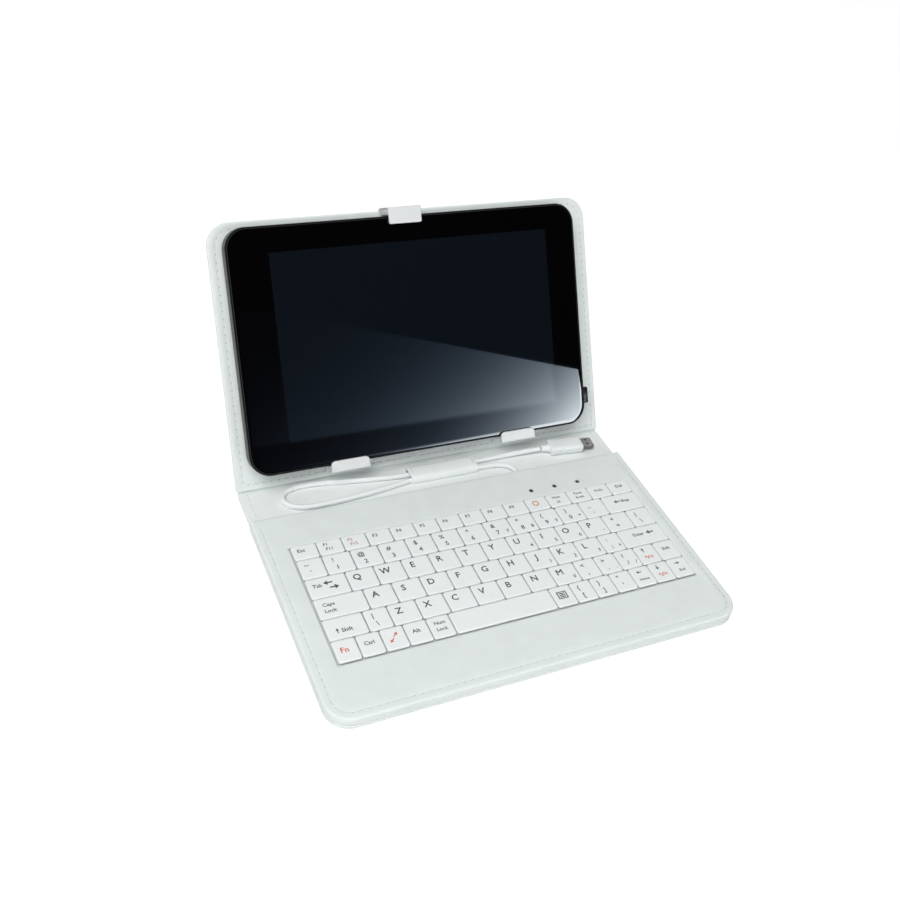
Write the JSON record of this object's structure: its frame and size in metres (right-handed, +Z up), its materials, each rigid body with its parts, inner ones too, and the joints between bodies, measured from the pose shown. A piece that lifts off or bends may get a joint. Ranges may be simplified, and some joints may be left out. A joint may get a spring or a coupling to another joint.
{
  "type": "tablet keyboard case",
  "caption": "Folding white tablet case with a wired keyboard half, a flat spine with a cable strap, and a lid that holds a tablet on a fold-out leg.",
  "frame": {"origin": "centre of the keyboard half's underside, on the table", "axes": "+X to the typist's right, +Y from the front edge towards the lid, +Z up"},
  "size_m": [0.214, 0.2273, 0.13],
  "materials": {
    "white_leather": "satin",
    "white_lining": "matte",
    "grey_card": "matte",
    "foam": "matte",
    "white_plastic": "satin",
    "key_plastic": "satin",
    "soft_rubber": "satin",
    "clear_film": "gloss",
    "circuit_board": "satin",
    "bright_metal": "polished",
    "dark_plastic": "gloss",
    "elastic": "matte",
    "black_gloss": "gloss",
    "screen_glass": "gloss"
  },
  "bodies": {
    "keyboard_half": {"keyboard_outer_skin": "white_leather", "keyboard_board": "grey_card", "foam_spacer": "foam", "keyboard_tray": "white_plastic", "circuit_film": "clear_film", "rubber_domes": "soft_rubber", "key_plate": "white_plastic", "controller_board": "circuit_board", "board_screws": "bright_metal", "indicator_lights": "dark_plastic", "top_cover": "white_leather", "cable_grommet": "white_plastic"},
    "spine": {"spine_skin": "white_leather", "spine_board": "grey_card", "spine_lining": "white_lining", "cable_strap": "white_leather", "usb_cable": "soft_rubber", "plug_body": "white_plastic", "plug_shell": "bright_metal", "plug_tongue": "dark_plastic"},
    "lid": {"lid_skin": "white_leather", "lid_board": "grey_card", "lid_lining": "white_lining", "bottom_hook_left": "white_plastic", "bottom_hook_right": "white_plastic", "hook_rivets": "bright_metal", "clip_elastic": "elastic", "kickstand_hinge_strip": "white_leather", "kickstand_stay": "white_lining"},
    "clip": {"top_clip": "white_plastic"},
    "kickstand": {"kickstand_leg": "white_leather", "kickstand_board": "grey_card"},
    "tablet": {"tablet_shell": "black_gloss", "tablet_glass": "screen_glass", "tablet_display": "screen_glass"},
    "tablet_button": {"tablet_button": "dark_plastic"},
    "key_escape_cap": {"key_escape": "key_plastic"},
    "function_keys_caps": {"function_keys": "key_plastic"},
    "lock_keys_caps": {"lock_keys": "key_plastic"},
    "key_delete_cap": {"key_delete": "key_plastic"},
    "number_row_keys_caps": {"number_row_keys": "key_plastic"},
    "key_backspace_cap": {"key_backspace": "key_plastic"},
    "key_tab_cap": {"key_tab": "key_plastic"},
    "letter_keys_q_to_p_cap": {"letter_keys_q_to_p": "key_plastic"},
    "key_caps_lock_cap": {"key_caps_lock": "key_plastic"},
    "letter_keys_a_to_l_cap": {"letter_keys_a_to_l": "key_plastic"},
    "key_enter_cap": {"key_enter": "key_plastic"},
    "key_shift_left_cap": {"key_shift_left": "key_plastic"},
    "letter_keys_z_to_m_cap": {"letter_keys_z_to_m": "key_plastic"},
    "symbol_keys_caps": {"symbol_keys": "key_plastic"},
    "key_arrow_up_cap": {"key_arrow_up": "key_plastic"},
    "key_shift_right_cap": {"key_shift_right": "key_plastic"},
    "key_fn_cap": {"key_fn": "key_plastic"},
    "key_control_cap": {"key_control": "key_plastic"},
    "key_alternate_cap": {"key_alternate": "key_plastic"},
    "system_keys_caps": {"system_keys": "key_plastic"},
    "key_space_cap": {"key_space": "key_plastic"},
    "key_arrow_left_cap": {"key_arrow_left": "key_plastic"},
    "key_arrow_down_cap": {"key_arrow_down": "key_plastic"},
    "key_arrow_right_cap": {"key_arrow_right": "key_plastic"}
  },
  "joints": [
    {"name": "back_fold", "type": "hinge", "parent": "keyboard_half", "child": "spine", "pos_m": [0, 0.0658, 0.0015], "axis": [1, 0, 0], "range_deg": [0, 90], "deforming": ["usb_cable"]},
    {"name": "lid_fold", "type": "hinge", "parent": "spine", "child": "lid", "pos_m": [0, 0.0888, 0.0015], "axis": [1, 0, 0], "range_deg": [-60, 30]},
    {"name": "kickstand_fold", "type": "hinge", "parent": "lid", "child": "kickstand", "pos_m": [0, 0.13148, 0.06923], "axis": [1, 0, 0], "range_deg": [-54, 0], "deforming": ["kickstand_stay"]},
    {"name": "clip_pull", "type": "slide", "parent": "lid", "child": "clip", "axis": [0, 0.5, 0.866], "range_m": [0, 0.012], "stiffness_N_per_m": 300, "springref_m": -0.01, "deforming": ["clip_elastic"]},
    {"name": "draw_out_tablet", "type": "slide", "parent": "lid", "child": "tablet", "axis": [1, 0, 0], "range_m": [0, 0.2]},
    {"name": "press_escape", "type": "slide", "parent": "keyboard_half", "child": "key_escape_cap", "axis": [0, 0, -1], "range_m": [0, 0.0012], "stiffness_N_per_m": 500, "springref_m": -0.0004, "deforming": ["rubber_domes"]},
    {"name": "press_function_keys", "type": "slide", "parent": "keyboard_half", "child": "function_keys_caps", "axis": [0, 0, -1], "range_m": [0, 0.0012], "stiffness_N_per_m": 500, "springref_m": -0.0004, "deforming": ["rubber_domes"]},
    {"name": "press_lock_keys", "type": "slide", "parent": "keyboard_half", "child": "lock_keys_caps", "axis": [0, 0, -1], "range_m": [0, 0.0012], "stiffness_N_per_m": 500, "springref_m": -0.0004, "deforming": ["rubber_domes"]},
    {"name": "press_delete", "type": "slide", "parent": "keyboard_half", "child": "key_delete_cap", "axis": [0, 0, -1], "range_m": [0, 0.0012], "stiffness_N_per_m": 500, "springref_m": -0.0004, "deforming": ["rubber_domes"]},
    {"name": "press_number_row_keys", "type": "slide", "parent": "keyboard_half", "child": "number_row_keys_caps", "axis": [0, 0, -1], "range_m": [0, 0.0012], "stiffness_N_per_m": 500, "springref_m": -0.0004, "deforming": ["rubber_domes"]},
    {"name": "press_backspace", "type": "slide", "parent": "keyboard_half", "child": "key_backspace_cap", "axis": [0, 0, -1], "range_m": [0, 0.0012], "stiffness_N_per_m": 500, "springref_m": -0.0004, "deforming": ["rubber_domes"]},
    {"name": "press_tab", "type": "slide", "parent": "keyboard_half", "child": "key_tab_cap", "axis": [0, 0, -1], "range_m": [0, 0.0012], "stiffness_N_per_m": 500, "springref_m": -0.0004, "deforming": ["rubber_domes"]},
    {"name": "press_letter_keys_q_to_p", "type": "slide", "parent": "keyboard_half", "child": "letter_keys_q_to_p_cap", "axis": [0, 0, -1], "range_m": [0, 0.0012], "stiffness_N_per_m": 500, "springref_m": -0.0004, "deforming": ["rubber_domes"]},
    {"name": "press_caps_lock", "type": "slide", "parent": "keyboard_half", "child": "key_caps_lock_cap", "axis": [0, 0, -1], "range_m": [0, 0.0012], "stiffness_N_per_m": 500, "springref_m": -0.0004, "deforming": ["rubber_domes"]},
    {"name": "press_letter_keys_a_to_l", "type": "slide", "parent": "keyboard_half", "child": "letter_keys_a_to_l_cap", "axis": [0, 0, -1], "range_m": [0, 0.0012], "stiffness_N_per_m": 500, "springref_m": -0.0004, "deforming": ["rubber_domes"]},
    {"name": "press_enter", "type": "slide", "parent": "keyboard_half", "child": "key_enter_cap", "axis": [0, 0, -1], "range_m": [0, 0.0012], "stiffness_N_per_m": 500, "springref_m": -0.0004, "deforming": ["rubber_domes"]},
    {"name": "press_shift_left", "type": "slide", "parent": "keyboard_half", "child": "key_shift_left_cap", "axis": [0, 0, -1], "range_m": [0, 0.0012], "stiffness_N_per_m": 500, "springref_m": -0.0004, "deforming": ["rubber_domes"]},
    {"name": "press_letter_keys_z_to_m", "type": "slide", "parent": "keyboard_half", "child": "letter_keys_z_to_m_cap", "axis": [0, 0, -1], "range_m": [0, 0.0012], "stiffness_N_per_m": 500, "springref_m": -0.0004, "deforming": ["rubber_domes"]},
    {"name": "press_symbol_keys", "type": "slide", "parent": "keyboard_half", "child": "symbol_keys_caps", "axis": [0, 0, -1], "range_m": [0, 0.0012], "stiffness_N_per_m": 500, "springref_m": -0.0004, "deforming": ["rubber_domes"]},
    {"name": "press_arrow_up", "type": "slide", "parent": "keyboard_half", "child": "key_arrow_up_cap", "axis": [0, 0, -1], "range_m": [0, 0.0012], "stiffness_N_per_m": 500, "springref_m": -0.0004, "deforming": ["rubber_domes"]},
    {"name": "press_shift_right", "type": "slide", "parent": "keyboard_half", "child": "key_shift_right_cap", "axis": [0, 0, -1], "range_m": [0, 0.0012], "stiffness_N_per_m": 500, "springref_m": -0.0004, "deforming": ["rubber_domes"]},
    {"name": "press_fn", "type": "slide", "parent": "keyboard_half", "child": "key_fn_cap", "axis": [0, 0, -1], "range_m": [0, 0.0012], "stiffness_N_per_m": 500, "springref_m": -0.0004, "deforming": ["rubber_domes"]},
    {"name": "press_control", "type": "slide", "parent": "keyboard_half", "child": "key_control_cap", "axis": [0, 0, -1], "range_m": [0, 0.0012], "stiffness_N_per_m": 500, "springref_m": -0.0004, "deforming": ["rubber_domes"]},
    {"name": "press_alternate", "type": "slide", "parent": "keyboard_half", "child": "key_alternate_cap", "axis": [0, 0, -1], "range_m": [0, 0.0012], "stiffness_N_per_m": 500, "springref_m": -0.0004, "deforming": ["rubber_domes"]},
    {"name": "press_system_keys", "type": "slide", "parent": "keyboard_half", "child": "system_keys_caps", "axis": [0, 0, -1], "range_m": [0, 0.0012], "stiffness_N_per_m": 500, "springref_m": -0.0004, "deforming": ["rubber_domes"]},
    {"name": "press_space", "type": "slide", "parent": "keyboard_half", "child": "key_space_cap", "axis": [0, 0, -1], "range_m": [0, 0.0012], "stiffness_N_per_m": 500, "springref_m": -0.0004, "deforming": ["rubber_domes"]},
    {"name": "press_arrow_left", "type": "slide", "parent": "keyboard_half", "child": "key_arrow_left_cap", "axis": [0, 0, -1], "range_m": [0, 0.0012], "stiffness_N_per_m": 500, "springref_m": -0.0004, "deforming": ["rubber_domes"]},
    {"name": "press_arrow_down", "type": "slide", "parent": "keyboard_half", "child": "key_arrow_down_cap", "axis": [0, 0, -1], "range_m": [0, 0.0012], "stiffness_N_per_m": 500, "springref_m": -0.0004, "deforming": ["rubber_domes"]},
    {"name": "press_arrow_right", "type": "slide", "parent": "keyboard_half", "child": "key_arrow_right_cap", "axis": [0, 0, -1], "range_m": [0, 0.0012], "stiffness_N_per_m": 500, "springref_m": -0.0004, "deforming": ["rubber_domes"]},
    {"name": "press_tablet_button", "type": "slide", "parent": "tablet", "child": "tablet_button", "axis": [-1, 0, 0], "range_m": [0, 0.0004], "stiffness_N_per_m": 800, "springref_m": -0.0004}
  ]
}
